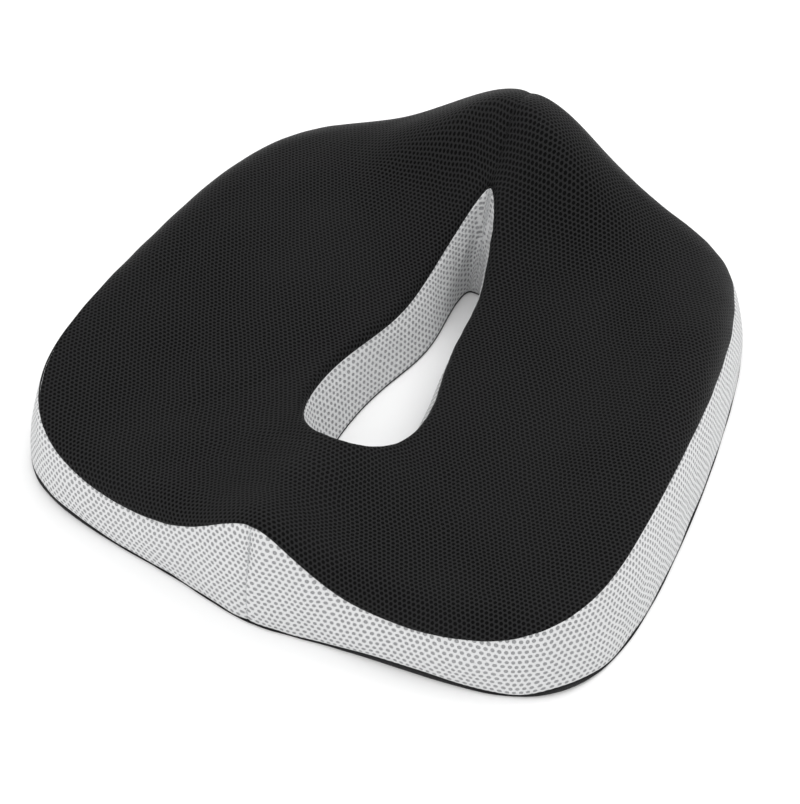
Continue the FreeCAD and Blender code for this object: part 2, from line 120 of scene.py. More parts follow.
def hole_edge(t, hole):
    """Plan outline of the teardrop hole: a round bulb, a slim tail and a pinched waist between them."""
    angle = math.pi * np.abs(t)
    bulb = np.sin(angle) * np.cos(angle / 2) ** 4 / BULB_PEAK
    slim = np.maximum(np.sin(angle), 0) ** (1 - hole["blunt"] * np.abs(t))
    y = (hole["front"] + hole["rear"]) / 2 - (hole["rear"] - hole["front"]) / 2 * np.cos(angle)
    upright = hole["lean"] * (t > 0)
    pinch = hole["pinch"] * (1 - LEAN_PINCH * upright) * np.exp(-((y - hole["waist"]) / WAIST_SPREAD) ** 2)
    x = hole["scale"] * ((1 - hole["tail"]) * bulb + hole["tail"] * slim) * (1 - pinch)
    x = x * (1 + LEAN_WIDTH * upright)
    return x * side(t) + BOW * np.exp(-((y - BOW_Y) / BOW_SPREAD) ** 2), y


def rim_seam(t):
    foot_x, foot_y = base_edge(t)
    edge_x, edge_y = hole_edge(t, HOLE_TOP)
    share = along(SEAM_INSET, t) / np.hypot(edge_x - foot_x, edge_y - foot_y)
    return (foot_x + (edge_x - foot_x) * share, foot_y + (edge_y - foot_y) * share,
            along(SEAM_HEIGHT, t))


def top(t, u):
    """Top of the seat: u is 0 at the rim seam and 1 at the hole."""
    seam_x, seam_y, seam_z = rim_seam(t)
    edge_x, edge_y = hole_edge(t, HOLE_TOP)
    width = np.hypot(edge_x - seam_x, edge_y - seam_y)
    rim, seat, lip = along(RIM_HEIGHT, t), along(SEAT_HEIGHT, t), along(LIP_HEIGHT, t)
    level = np.where(u < 0.5, rim + (seat - rim) * ease(2 * u), seat + (lip - seat) * ease(2 * u - 1))
    level = seam_z + (level - seam_z) * quarter(u * width / along(RIM_ROLL, t))
    level = level - LIP_ROLL * (1 - quarter((1 - u) * width / LIP_ROLL))
    return point(seam_x + (edge_x - seam_x) * u, seam_y + (edge_y - seam_y) * u, level)


def band(t, u):
    """Outer side of the cushion: u is 0 at the base seam and 1 at the rim seam."""
    foot_x, foot_y = base_edge(t)
    foot_z = band_foot(t)
    seam_x, seam_y, seam_z = rim_seam(t)
    inset = np.hypot(foot_x - seam_x, foot_y - seam_y)
    share = u - 4 * u * (1 - u) * BAND_BULGE / inset
    return point(foot_x + (seam_x - foot_x) * share, foot_y + (seam_y - foot_y) * share,
                 foot_z + (seam_z - foot_z) * u)


def band_foot(t):
    """Height of the grey band's lower edge."""
    start, spread, rise = STRIP_REAR
    height = STRIP_LEAST + STRIP_WANDER * np.sin(41 * t) + rise * ease((np.abs(t) - start) / spread)
    for place, spread, rise in STRIPS:
        height = height + rise * np.exp(-((t - place) / spread) ** 2)
    return height


def lining(t, u):
    """Wall of the hole: u is 0 at the seat and 1 at the base cloth."""
    edge = top(t, np.ones_like(u))
    foot_x, foot_y = hole_edge(t, HOLE_BASE)
    foot = point(foot_x, foot_y, LINING_FOOT)
    return edge + (foot - edge) * u[..., None]


# ---- Cloth panels as grids ----------------------------------------------------------------

def unit(vectors):
    return vectors / np.maximum(np.linalg.norm(vectors, axis=-1, keepdims=True), 1e-9)


def surface_frames(surface, t, u):
    """Points and outward normals of a surface at places t and u."""
    step = 0.003
    t, u = np.broadcast_arrays(np.asarray(t, float), np.asarray(u, float))

    def at(t_shift, u_shift):
        return surface((t + t_shift + 1) % 2 - 1, np.clip(u + u_shift, 0, 1))

    normals = unit(np.cross(at(step, 0) - at(-step, 0), at(0, step) - at(0, -step)))
    return surface(t, u), normals


def sample(surface, t_places, u_places):
    """Points and outward normals of a surface on a grid of places."""
    return surface_frames(surface, *np.meshgrid(t_places, u_places, indexing="ij"))


def both_sides(half):
    """Places on the whole ring, from those on its +X half."""
    return np.concatenate([-half[:0:-1], half])


def rolled_edge(points, normals, radius, first):
    """More columns that turn the panel's edge under in a half circle."""
    edge, inner = (points[:, 0], points[:, 1]) if first else (points[:, -1], points[:, -2])
    normal = normals[:, 0] if first else normals[:, -1]
    away = unit(edge - inner)
    turns = np.radians(np.linspace(25, 190, 7))
    columns = [edge + radius * ((math.cos(turn) - 1) * normal + math.sin(turn) * away)
               for turn in turns]
    if first:
        columns.reverse()
    return np.stack(columns, axis=1)


def run_lengths(points):
    """Length along each row of points, from its first point."""
    steps = np.linalg.norm(np.diff(points, axis=1), axis=2)
    return np.concatenate([np.zeros((len(points), 1)), np.cumsum(steps, axis=1)], axis=1)


def ripple(a, b, wave, seed):
    """Smooth uneven ripples of about -1 to 1: a few fixed waves that cross each other."""
    total = 0
    for k in range(5):
        heading = seed * 1.7 + k * 2.4
        scale = 2 * math.pi / wave * (0.7 + 0.23 * k)
        total = total + np.sin(scale * (a * math.cos(heading) + b * math.sin(heading)) + 3.1 * k * seed)
    return total / 3.2


def placed(name, data):
    """A new object in the scene."""
    thing = bpy.data.objects.new(name, data)
    bpy.context.scene.collection.objects.link(thing)
    return thing


def grid_mesh(name, points, weave):
    """One mesh of quads from a grid of points in millimetres, with its weave as UVs in millimetres."""
    rows, columns = points.shape[:2]
    mesh = bpy.data.meshes.new(name)
    faces = []
    corners = []
    for i in range(rows - 1):
        for j in range(columns - 1):
            cell = [(i, j), (i + 1, j), (i + 1, j + 1), (i, j + 1)]
            faces.append([row * columns + column for row, column in cell])
            corners += cell
    mesh.from_pydata((points.reshape(-1, 3) * MM).tolist(), [], faces)
    layer = mesh.uv_layers.new(name="weave")
    corner = np.array(corners)
    layer.data.foreach_set("uv", weave[corner[:, 0], corner[:, 1]].astype(np.float32).ravel())
    mesh.polygons.foreach_set("use_smooth", [True] * len(faces))
    mesh.update()
    return placed(name, mesh)


def finer(piece):
    modifier = piece.modifiers.new("finer", "SUBSURF")
    modifier.levels = 1
    modifier.render_levels = 1
    modifier.subdivision_type = "CATMULL_CLARK"
    modifier.uv_smooth = "PRESERVE_BOUNDARIES"


def dress(piece, material, stands_for=(), body="cushion"):
    """Give a piece its material and slot, let it ride on its body and say which nodes it replaces."""
    piece.data.materials.clear()
    piece.data.materials.append(material)
    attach(piece, body)
    if stands_for:
        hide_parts(*stands_for)


def graded(first, last, count):
    """Places that are closer together towards both ends."""
    even = 0.35
    q = np.linspace(0, 1, count)
    return first + (last - first) * (even * q + (1 - even) / 2 * (1 - np.cos(math.pi * q)))


def tube_points(path, radius, sides, closed):
    """Points round a path; radius is one number or (sideways, upwards)."""
    path = np.asarray(path, float)
    if closed:
        along_path = unit(np.roll(path, -1, axis=0) - np.roll(path, 1, axis=0))
    else:
        along_path = unit(np.gradient(path, axis=0))
    wide, tall = radius if isinstance(radius, tuple) else (radius, radius)
    up = np.array([0.0, 0.0, 1.0])
    if abs(along_path[0][2]) > 0.9:
        up = np.array([1.0, 0.0, 0.0])
    rings = []
    for place, heading in zip(path, along_path):
        up = unit(up - heading * np.dot(up, heading))
        across = np.cross(heading, up)
        turns = np.linspace(0, 2 * math.pi, sides + 1)[:-1]
        rings.append(place + wide * np.cos(turns)[:, None] * across + tall * np.sin(turns)[:, None] * up)
    return np.array(rings)


def add_tube(verts, faces, path, radius, sides=6, closed=False):
    """Add a tube to lists of points and faces; an open tube is capped with a point at each end."""
    rings = tube_points(path, radius, sides, closed)
    start = len(verts)
    count = len(rings)
    verts += rings.reshape(-1, 3).tolist()
    for i in range(count if closed else count - 1):
        after = (i + 1) % count
        for j in range(sides):
            k = (j + 1) % sides
            faces.append((start + i * sides + j, start + i * sides + k,
                          start + after * sides + k, start + after * sides + j))
    if not closed:
        faces.append(tuple(start + j for j in reversed(range(sides))))
        faces.append(tuple(start + (count - 1) * sides + j for j in range(sides)))


def plain_mesh(name, verts, faces):
    """An object from points in millimetres and faces."""
    mesh = bpy.data.meshes.new(name)
    mesh.from_pydata((np.array(verts) * MM).tolist(), [], faces)
    mesh.polygons.foreach_set("use_smooth", [True] * len(faces))
    mesh.update()
    return placed(name, mesh)


def tube(name, path, radius, sides=8, closed=False):
    verts, faces = [], []
    add_tube(verts, faces, path, radius, sides, closed)
    return plain_mesh(name, verts, faces)


def even_places(path, outward, step):
    """Points on a path every step millimetres, with the directions along and out of the cloth."""
    run = np.concatenate([[0], np.cumsum(np.linalg.norm(np.diff(path, axis=0), axis=1))])
    places = np.arange(step / 2, run[-1] - step / 2, step)

    def read(values, shift=0.0):
        return np.stack([np.interp(places + shift, run, values[:, axis]) for axis in range(3)], axis=-1)

    return read(path), unit(read(path, 0.2) - read(path, -0.2)), unit(read(outward))


def stitch_row(name, path, outward, step, length, radius, slant):
    """A row of short stitches that dive into the cloth at both ends."""
    verts, faces = [], []
    for i, (spot, heading, outward_here) in enumerate(zip(*even_places(path, outward, step))):
        across = np.cross(heading, outward_here)
        lean = slant if i % 2 else -slant
        line = unit(heading + lean * across)
        q = np.linspace(-1, 1, 7)
        height = radius * (1 - 2.2 * q[:, None] ** 4)
        arch = spot + line * (q[:, None] * length / 2) + outward_here * height
        add_tube(verts, faces, arch, radius)
    return plain_mesh(name, verts, faces)


def rounded_rectangle(low, high, radius, steps=6):
    """Points round a rectangle with round corners, anticlockwise."""
    points = []
    centres = [(high[0] - radius, high[1] - radius), (low[0] + radius, high[1] - radius),
               (low[0] + radius, low[1] + radius), (high[0] - radius, low[1] + radius)]
    for corner, (x, y) in enumerate(centres):
        for i in range(steps + 1):
            turn = math.radians(90 * (corner + i / steps))
            points.append((x + radius * math.cos(turn), y + radius * math.sin(turn)))
    return points


def flat_plate(name, outlines, low, high, bevel):
    """A flat plate with holes: the first outline is its edge and the others are its holes."""
    curve = bpy.data.curves.new(name, "CURVE")
    curve.dimensions = "2D"
    curve.fill_mode = "BOTH"
    curve.extrude = ((high - low) / 2 - bevel) * MM
    curve.bevel_depth = bevel * MM
    curve.bevel_resolution = 1
    curve.offset = -bevel * MM
    for outline in outlines:
        spline = curve.splines.new("POLY")
        spline.points.add(len(outline) - 1)
        for spot, (x, y) in zip(spline.points, outline):
            spot.co = (x * MM, y * MM, 0, 1)
        spline.use_cyclic_u = True
    drawn = placed(name + "_outline", curve)
    bpy.context.view_layer.update()
    shape = drawn.evaluated_get(bpy.context.evaluated_depsgraph_get())
    mesh = bpy.data.meshes.new_from_object(shape)
    bpy.data.objects.remove(drawn)
    bpy.data.curves.remove(curve)
    mesh.name = name
    mesh.transform(Matrix.Translation((0, 0, (low + high) / 2 * MM)))
    return placed(name, mesh)


def bevelled_blocks(name, blocks, bevel):
    """One piece of several blocks with rounded edges; each block is (low corner, high corner)."""
    whole = bmesh.new()
    for low, high in blocks:
        low, high = np.array(low, float) * MM, np.array(high, float) * MM
        block = bmesh.new()
        bmesh.ops.create_cube(block, size=1.0)
        bmesh.ops.scale(block, vec=tuple(high - low), verts=block.verts)
        bmesh.ops.translate(block, vec=tuple((low + high) / 2), verts=block.verts)
        bmesh.ops.bevel(block, geom=block.edges[:], offset=bevel * MM, segments=2,
                        affect="EDGES", profile=0.5)
        shape = bpy.data.meshes.new("block")
        block.to_mesh(shape)
        block.free()
        whole.from_mesh(shape)
        bpy.data.meshes.remove(shape)
    mesh = bpy.data.meshes.new(name)
    whole.to_mesh(mesh)
    whole.free()
    mesh.polygons.foreach_set("use_smooth", [True] * len(mesh.polygons))
    return placed(name, mesh)


# ---- Materials ----------------------------------------------------------------------------

class Nodes:
    """A short way to write a material's node tree."""

    def __init__(self, name):
        self.material = bpy.data.materials.new(name)
        self.material.use_nodes = True
        self.tree = self.material.node_tree
        self.surface = self.tree.nodes["Principled BSDF"]

    def add(self, kind, links=(), **settings):
        node = self.tree.nodes.new(kind)
        for key, setting in settings.items():
            setattr(node, key, setting)
        for socket, source in dict(links).items():
            if hasattr(source, "links"):
                self.tree.links.new(source, node.inputs[socket])
            else:
                node.inputs[socket].default_value = source
        return node

    def math(self, operation, a, b):
        return self.add("ShaderNodeMath", {0: a, 1: b}, operation=operation).outputs[0]

    def vector(self, operation, a, b=(0, 0, 0)):
        node = self.add("ShaderNodeVectorMath", {0: a, 1: b}, operation=operation)
        return node.outputs["Value" if operation == "LENGTH" else "Vector"]

    def noise(self, place, scale, detail=2.0):
        node = self.add("ShaderNodeTexNoise", {"Vector": place, "Scale": scale, "Detail": detail})
        return node.outputs["Fac"]

    def ramp(self, source, low, high):
        node = self.add("ShaderNodeMapRange", {"Value": source, "From Min": low, "From Max": high},
                        interpolation_type="SMOOTHSTEP")
        return node.outputs["Result"]

    def mix(self, share, a, b):
        node = self.add("ShaderNodeMix", data_type="RGBA")
        for socket, source in ((0, share), (6, a), (7, b)):
            if hasattr(source, "links"):
                self.tree.links.new(source, node.inputs[socket])
            else:
                node.inputs[socket].default_value = source if socket == 0 else (*source, 1)
        return node.outputs[2]

    def bump(self, height, distance):
        return self.add("ShaderNodeBump", {"Height": height, "Distance": distance}).outputs["Normal"]

    def finish(self, colour, normal, roughness, sheen=0.0, metallic=0.0, specular=0.5):
        self.tree.links.new(colour, self.surface.inputs["Base Color"])
        self.tree.links.new(normal, self.surface.inputs["Normal"])
        for socket, number in (("Roughness", roughness), ("Sheen Weight", sheen), ("Sheen Roughness", 0.4),
                               ("Metallic", metallic), ("Specular IOR Level", specular)):
            self.surface.inputs[socket].default_value = number
        return self.material


def air_mesh(name, pitch, hole, yarn, depth, relief, sheen, specular, roughness, cloud_tone):
    """Knitted air mesh: a hexagonal field of holes whose size and pitch are in millimetres, with painted
    shade in the holes.
    """
    n = Nodes(name)
    weave = n.add("ShaderNodeUVMap", uv_map="weave").outputs["UV"]
    drift = n.add("ShaderNodeTexNoise", {"Vector": weave, "Scale": 0.05, "Detail": 1.0}).outputs["Color"]
    drift = n.vector("MULTIPLY", n.vector("SUBTRACT", drift, (0.5, 0.5, 0.5)), (pitch, pitch, 0))
    place = n.vector("ADD", weave, drift)
    cell = (pitch, pitch * math.sqrt(3), 1)
    scaled = n.vector("DIVIDE", place, cell)
    distances = []
    for shift in (0.0, 0.5):
        part = n.vector("FRACTION", n.vector("ADD", scaled, (shift, shift, 0)))
        part = n.vector("MULTIPLY", n.vector("SUBTRACT", part, (0.5, 0.5, 0)), cell)
        distances.append(n.vector("LENGTH", part))
    distance = n.math("MINIMUM", *distances)
    wall = n.ramp(distance, hole / 2 - 0.12 * pitch, hole / 2 + 0.05 * pitch)
    fibre = n.noise(weave, scale=2.6, detail=3.0)
    cloud = n.noise(weave, scale=0.012, detail=3.0)
    yarn_colour = n.mix(n.ramp(fibre, 0.25, 0.75), [c * 0.8 for c in yarn], [c * 1.12 for c in yarn])
    # painted shade: the holes get the darker colour depth, which stands for the shade inside them
    hole_shade_colour = n.mix(n.ramp(fibre, 0.35, 0.65), depth, [c * 1.35 for c in depth])
    colour = n.mix(wall, hole_shade_colour, yarn_colour)
    shade = n.ramp(cloud, 0.3, 0.7)
    clouded = n.mix(0.5, colour, [c * cloud_tone for c in yarn])
    colour = n.mix(n.math("MULTIPLY", shade, 0.25), colour, clouded)
    height = n.math("ADD", wall, n.math("MULTIPLY", fibre, 0.25))
    normal = n.bump(height, relief * MM)
    return n.finish(colour, normal, roughness, sheen=sheen, specular=specular)


def woven(name, colour, thread, relief):
    """Plain woven cloth, tape or thread: warp and weft of the stated thread width in millimetres."""
    n = Nodes(name)
    place = n.add("ShaderNodeTexCoord").outputs["Object"]
    waves = []
    for direction in ("X", "Y"):
        wave = n.add("ShaderNodeTexWave", {"Vector": place, "Scale": 1 / (thread * MM * math.tau),
                                           "Distortion": 0.6, "Detail": 1.0}, bands_direction=direction)
        waves.append(wave.outputs["Fac"])
    height = n.math("MULTIPLY", *waves)
    cloud = n.noise(place, scale=40.0, detail=3.0)
    # painted shade and highlight: the cloth is darker where its weave's bump is low and lighter where it
    # is high
    tint = n.mix(height, [c * 0.6 for c in colour], [c * 1.3 for c in colour])
    tint = n.mix(n.math("MULTIPLY", cloud, 0.3), tint, [c * 1.8 for c in colour])
    return n.finish(tint, n.bump(height, relief * MM), 0.85, sheen=0.05, specular=0.2)


def moulded(name, colour, roughness, grain, metallic=0.0):
    """Moulded plastic, rubber or painted metal with a fine grain and slightly worn tone."""
    n = Nodes(name)
    place = n.add("ShaderNodeTexCoord").outputs["Object"]
    fine = n.noise(place, scale=3500.0)
    broad = n.noise(place, scale=120.0, detail=3.0)
    tint = n.mix(n.ramp(broad, 0.3, 0.7), [c * 0.8 for c in colour], [c * 1.25 for c in colour])
    return n.finish(tint, n.bump(fine, grain * MM), roughness, metallic=metallic)


def foam_material():
    n = Nodes("memory_foam")
    place = n.add("ShaderNodeTexCoord").outputs["Object"]
    cells = n.add("ShaderNodeTexVoronoi", {"Vector": place, "Scale": 900.0}).outputs["Distance"]
    # painted shade: the foam is darker in its pores, where its bump is low
    tint = n.mix(n.ramp(cells, 0.1, 0.6), (0.62, 0.58, 0.46), (0.86, 0.83, 0.72))
    return n.finish(tint, n.bump(cells, 0.3 * MM), 0.95)


def floor_material():
    n = Nodes("pale_floor")
    place = n.add("ShaderNodeTexCoord").outputs["Object"]
    tint = n.mix(n.noise(place, scale=3.0), (0.95, 0.95, 0.95), (0.97, 0.97, 0.97))
    return n.finish(tint, n.bump(n.noise(place, scale=400.0), 0.02 * MM), 0.9)


# each mesh's depth colour is the painted shade in its holes
black_mesh = air_mesh("black_air_mesh", pitch=2.8, hole=2.0, yarn=(0.0175, 0.0175, 0.018),
                      depth=(0.0004, 0.0004, 0.0004), relief=0.6, sheen=0.022, specular=0.035,
                      roughness=0.5, cloud_tone=1.3)
grey_mesh = air_mesh("grey_air_mesh", pitch=4.0, hole=2.4, yarn=(0.64, 0.643, 0.648),
                     depth=(0.22, 0.223, 0.228), relief=0.8, sheen=0.05, specular=0.3,
                     roughness=0.85, cloud_tone=0.9)
base_cloth = woven("black_base_cloth", (0.014, 0.014, 0.015), thread=0.5, relief=0.15)
black_thread = woven("black_thread", (0.008, 0.008, 0.0085), thread=0.3, relief=0.1)
grey_thread = woven("grey_thread", (0.5, 0.51, 0.52), thread=0.3, relief=0.1)
tape_cloth = woven("zip_tape", (0.014, 0.014, 0.015), thread=0.4, relief=0.12)
coil_nylon = moulded("nylon_coil", (0.02, 0.02, 0.022), roughness=0.45, grain=0.01)
grip_rubber = moulded("grip_rubber", (0.03, 0.03, 0.032), roughness=0.7, grain=0.02)
zip_metal = moulded("painted_zinc", (0.05, 0.05, 0.055), roughness=0.38, grain=0.01, metallic=0.6)
foam = foam_material()

# ---- The seat's top panel: black mesh over the foam ---------------------------------------

EDGE_ROLL = 1.5
CREASE_DEPTH = 1.8
CREASE_WIDTH = 5.0
CREASE_START = 0.8      # the crease runs from here on the ring to the rear centre
RING_LENGTH = 620       # turns places on the ring into lengths for ripples and joins
PUFF_PRESSURE = 2.0
PUFF_FRAMES = 20
PUFF_CAP = 0.8
HELD_ROWS = 3           # rows beside the closing seam that the puffing leaves alone
HELD_RIM = (12, 30)     # the cloth is held this far in from the rim, and let go over this width
HELD_HOLE = (6, 24)


def gathers(t_places, lengths, height, reach, wave, seed):
    """Small puckers that fade with the distance from a seam."""
    fade = np.exp(-np.maximum(lengths, 0) / reach)
    around = np.asarray(t_places)[:, None] * RING_LENGTH
    return height * fade * ripple(around, lengths * 0.3, wave, seed)


def settle_as_cloth(piece, pinned):
    """Blow the cloth up a little where it isn't pinned, and keep at most PUFF_CAP of the movement."""
    group = piece.vertex_groups.new(name="pinned")
    for index, weight in enumerate(pinned):
        group.add([index], float(weight), "REPLACE")
    modifier = piece.modifiers.new("cloth", "CLOTH")
    settings = modifier.settings
    settings.quality = 6
    settings.mass = 0.3
    settings.tension_stiffness = 30
    settings.compression_stiffness = 30
    settings.bending_stiffness = 4
    settings.use_pressure = True
    settings.uniform_pressure_force = PUFF_PRESSURE
    settings.vertex_group_mass = "pinned"
    settings.effector_weights.gravity = 0
    modifier.collision_settings.use_collision = False
    scene = bpy.context.scene
    for step in range(1, PUFF_FRAMES + 1):
        scene.frame_set(step)
    shape = piece.evaluated_get(bpy.context.evaluated_depsgraph_get())
    count = len(piece.data.vertices)
    before = np.empty(count * 3, np.float32)
    after = np.empty(count * 3, np.float32)
    piece.data.vertices.foreach_get("co", before)
    shape.data.vertices.foreach_get("co", after)
    move = (after - before).reshape(-1, 3)
    size = np.linalg.norm(move, axis=1, keepdims=True)
    cap = PUFF_CAP * MM
    move *= cap * np.tanh(size / cap) / np.maximum(size, 1e-9)
    piece.modifiers.remove(modifier)
    piece.vertex_groups.clear()
    piece.data.vertices.foreach_set("co", (before + move.ravel()).astype(np.float32))
    piece.data.update()
    scene.frame_set(1)


def trimmed_rows(points, u_places):
    """Rows cut back from both seams by the edge roll: their lengths from each seam, and their places."""
    lengths = run_lengths(points)
    span = lengths[:, -1:]
    from_rim = EDGE_ROLL + (span - 2 * EDGE_ROLL) * u_places
    share = np.array([np.interp(spots, row, u_places) for spots, row in zip(from_rim, lengths)])
    return from_rim, span - from_rim, share


def plan_weave(whole, heading, column):
    """Weave coordinates of the top panel: its plan at one column, and the cloth's length from there.

    Towards the hole the length is scaled to its plan, so that the weave stays even round the tip.
    """
    lengths = run_lengths(whole)
    reach = lengths - lengths[:, column, None]
    level_reach = np.linalg.norm(whole[:, -1, :2] - whole[:, column, :2], axis=1, keepdims=True)
    reach = np.where(reach > 0, reach * level_reach / reach[:, -1:], reach)
    return whole[:, column, None, :2] + heading[:, None, :] * reach[..., None]


def make_top():
    t_places = both_sides(1 - (1 - np.linspace(0, 1, 121)) ** 1.25)
    u_places = graded(0.0, 1.0, 61)
    points, normals = sample(top, t_places, u_places)
    from_rim, from_hole, share = trimmed_rows(points, u_places)
    t_grid = np.repeat(t_places[:, None], len(u_places), axis=1)
    points = top(t_grid, share)
    lift = gathers(t_places, from_rim, height=0.45, reach=9, wave=26, seed=1)
    lift = lift + gathers(t_places, from_hole, height=0.3, reach=6, wave=22, seed=2)
    lift = lift + 0.5 * ripple(points[..., 0], points[..., 1], wave=70, seed=3) * ease(from_rim / 30)
    crease = np.exp(-np.abs(points[..., 0]) / CREASE_WIDTH) * (np.abs(t_grid) > CREASE_START)
    lift = lift - CREASE_DEPTH * crease
    points = points + normals * lift[..., None]
    first = rolled_edge(points, normals, EDGE_ROLL, True)
    last = rolled_edge(points, normals, EDGE_ROLL * 0.8, False)
    whole = np.concatenate([first, points, last], axis=1)
    heading = unit(points[:, -1, :2] - points[:, 0, :2])
    weave = plan_weave(whole, heading, first.shape[1] + len(u_places) // 2)
    piece = grid_mesh("top_panel_cloth", whole, weave)
    free = ease((from_rim - HELD_RIM[0]) / HELD_RIM[1]) * ease((from_hole - HELD_HOLE[0]) / HELD_HOLE[1])
    pinned = np.ones(whole.shape[:2])
    inner = slice(first.shape[1], first.shape[1] + len(u_places))
    pinned[HELD_ROWS:-HELD_ROWS, inner] = 1 - free[HELD_ROWS:-HELD_ROWS]
    settle_as_cloth(piece, pinned.ravel())
    finer(piece)
    dress(piece, black_mesh, ["top_panel"])


# ---- Grey bands round the outside and the lining of the hole ------------------------------

SET_BACK = 0.2          # the bands and the lining lie this far inside the CAD skin
EDGE_DIP_WIDTH = 1.2
JOIN_DIP_WIDTH = 1.8
LINING_WAVES = 250      # turns places on the hole's ring into lengths for the lining's ripples
LINING_JOIN = 200       # and for the dip at its join


def panel_edges(lengths, span, depth):
    """How far a panel dips at both of its sewn edges."""
    return depth * (np.exp(-lengths / EDGE_DIP_WIDTH) + np.exp(-(span - lengths) / EDGE_DIP_WIDTH))


def middle_run(points, column):
    """Length along a panel's middle, and how far each point lies ahead of the middle beside it."""
    middle = points[:, column]
    run = np.concatenate([[0], np.cumsum(np.linalg.norm(np.diff(middle, axis=0), axis=1))])
    heading = unit(np.gradient(middle, axis=0))
    return run[:, None], np.sum((points - middle[:, None]) * heading[:, None], axis=-1)


def run_weave(points, lengths):
    """Weave coordinates that run along a panel's middle, and across from it."""
    column = points.shape[1] // 2
    run, ahead = middle_run(points, column)
    across = lengths - lengths[:, column, None]
    across = np.sign(across) * np.sqrt(np.maximum(across ** 2 - ahead ** 2, 0))
    return np.stack([run + ahead, across], axis=-1)


def level_weave(points, lengths, sign):
    """Weave coordinates of an upright panel: level along its middle, and up from its base."""
    run, ahead = middle_run(points[..., :2], points.shape[1] // 2)
    return np.stack([sign * (run + ahead), lengths], axis=-1)


def make_band(name, sign, node):
    places = graded(0.0, 1.0, 141)
    points, normals = sample(band, sign * places, graded(0.0, 1.0, 29))
    lengths = run_lengths(points)
    span = lengths[:, -1:]
    lift = 0.7 * ripple(places[:, None] * RING_LENGTH, lengths, wave=58, seed=4 + sign)
    lift = lift * np.sin(math.pi * np.clip(lengths / span, 0, 1)) ** 0.7
    lift = lift + gathers(places, lengths, height=0.35, reach=7, wave=30, seed=5 + sign)
    lift = lift + gathers(places, span - lengths, height=0.3, reach=7, wave=24, seed=6 + sign)
    from_join = np.minimum(places, 1 - places)[:, None] * RING_LENGTH
    lift = lift - panel_edges(lengths, span, 1.0) - 0.7 * np.exp(-from_join / JOIN_DIP_WIDTH) - SET_BACK
    points = points + normals * lift[..., None]
    weave = level_weave(points, lengths, sign)
    if sign < 0:
        points, weave = points[::-1], weave[::-1]
    piece = grid_mesh(name, points, weave)
    finer(piece)
    dress(piece, grey_mesh, [node])


def make_lining():
    t_places = both_sides(graded(0.0, 1.0, 91))
    points, normals = sample(lining, t_places, graded(0.0, 1.0, 27))
    lengths = run_lengths(points)
    span = lengths[:, -1:]
    lift = 0.5 * ripple(t_places[:, None] * LINING_WAVES, lengths, wave=34, seed=7)
    lift = lift * np.sin(math.pi * lengths / span)
    from_join = (1 - np.abs(t_places))[:, None] * LINING_JOIN
    lift = lift - panel_edges(lengths, span, 0.9) - 0.5 * np.exp(-from_join / JOIN_DIP_WIDTH) - SET_BACK
    points = points + normals * lift[..., None]
    piece = grid_mesh("hole_lining_cloth", points, run_weave(points, lengths))
    finer(piece)
    dress(piece, grey_mesh, ["hole_lining"])


# ---- Base cloth with its rim, hems and grip dots -------------------------------------------

ZIP_Y = -160.0
SLOT_X = 142.0
SLOT_Y = 7.0
HEM_TOP = 4.6
TURN_IN = 3.0           # the base cloth bends up this far in from its edge
PLATE_TOP = 1.4
HOLE_MARGIN = 1.5       # the flat cloth starts this far out from the hole
SLOT_MARGIN = 1.7       # and this far out from the slot


def edge_frames(place, t_places):
    """Points of a plan outline with the level direction that points to the solid's inside."""
    def at(t):
        x, y = place((t + 1) % 2 - 1)
        return point(x, y, 0.0)

    ahead = unit(at(t_places + 0.004) - at(t_places - 0.004))
    return at(t_places), np.stack([-ahead[:, 1], ahead[:, 0], np.zeros(len(ahead))], axis=-1)


def edge_strip(name, spots, inward, profile):
    """Black cloth that follows an outline; each line of its profile is (distance in, height)."""
    up = np.array([0.0, 0.0, 1.0])
    rows = [spots + inward * np.reshape(distance, (-1, 1)) + up * np.reshape(height, (-1, 1))
            for distance, height in profile]
    points = np.stack(rows, axis=1)
    piece = grid_mesh(name, points, run_weave(points, run_lengths(points)))
    finer(piece)
    dress(piece, base_cloth)


def make_base_rim():
    """The base cloth's turned-up edge: its profile bulges out between the floor and the grey band."""
    t_places = np.linspace(-1, 1, 361)
    spots, inward = edge_frames(base_edge, t_places)
    rise = band_foot(t_places) - FLOOR_GAP
    wander = 0.2 * ripple(t_places * RING_LENGTH, 0.0, wave=40, seed=9)
    profile = [(TURN_IN, FLOOR_GAP + 0.02), (1.6, FLOOR_GAP), (0.7, FLOOR_GAP + 0.08 * rise),
               (0.2 + wander, FLOOR_GAP + 0.3 * rise), (wander, FLOOR_GAP + 0.6 * rise),
               (0.25 + wander, FLOOR_GAP + 0.9 * rise), (0.8, FLOOR_GAP + rise), (1.8, FLOOR_GAP + rise)]
    edge_strip("base_cloth_rim", spots, inward, profile)


def base_hole(t):
    return hole_edge(t, HOLE_BASE)


def make_hole_lip():
    spots, inward = edge_frames(base_hole, both_sides(graded(0.0, 1.0, 81)))
    profile = [(-1.6, 0.72), (-0.9, 0.73), (-0.5, 0.8), (-0.4, 0.95), (-0.6, 1.1), (-1.2, 1.2)]
    edge_strip("base_cloth_hole_lip", spots, inward, profile)


def slot_outline(margin, radius):
    """Outline of the zip's slot, with some margin round it."""
    reach_x, reach_y = SLOT_X + margin, SLOT_Y + margin
    return rounded_rectangle((-reach_x, ZIP_Y - reach_y), (reach_x, ZIP_Y + reach_y), radius)


